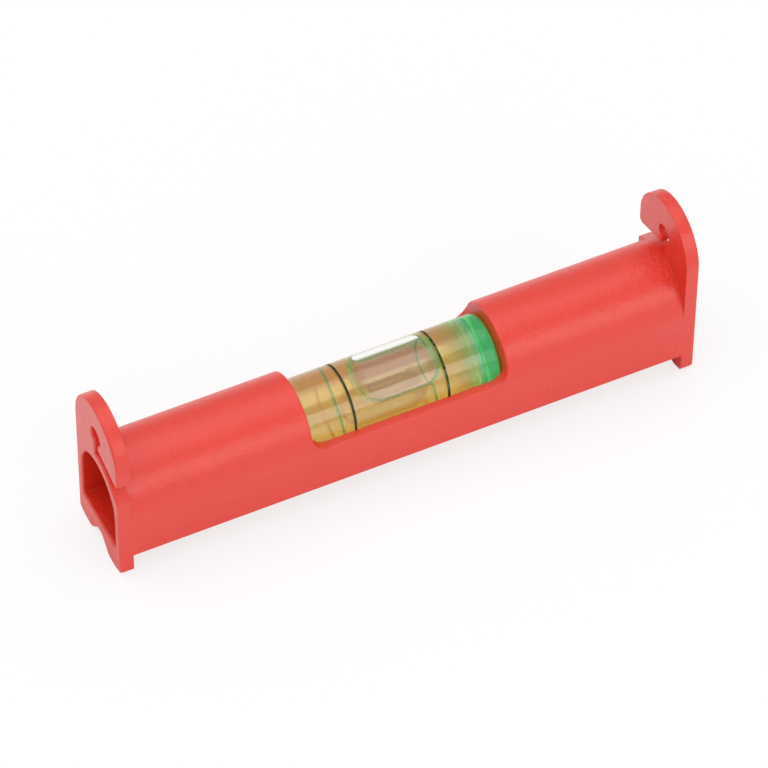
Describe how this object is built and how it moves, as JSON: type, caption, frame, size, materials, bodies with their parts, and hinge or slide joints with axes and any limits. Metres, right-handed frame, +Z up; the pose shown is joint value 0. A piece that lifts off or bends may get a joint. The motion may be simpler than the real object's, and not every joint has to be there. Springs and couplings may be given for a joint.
{
  "type": "line level",
  "caption": "Small string level: an arched tube between two hooked end plates carries a liquid vial with a bubble and reading lines.",
  "frame": {"origin": "midway between the two end plates, under the middle of the tube, in the plane of the feet's undersides", "axes": "+X runs along the level, +Y to its back, +Z up; the left plate's string slot opens to -Y and the right plate's to +Y"},
  "size_m": [0.08, 0.0126, 0.0251],
  "materials": {
    "red_plastic": "fine moulded satin",
    "clear_acrylic": "clear, polished",
    "green_acrylic": "tinted, polished",
    "vial_liquid": "clear yellow-green liquid",
    "black_ink": "ink line in a shallow groove"
  },
  "bodies": {
    "root": {"body": "red_plastic", "vial_tube": "clear_acrylic", "vial_end_plug": "green_acrylic", "vial_liquid": "vial_liquid", "reading_line_left": "black_ink", "reading_line_right": "black_ink"}
  },
  "joints": []
}
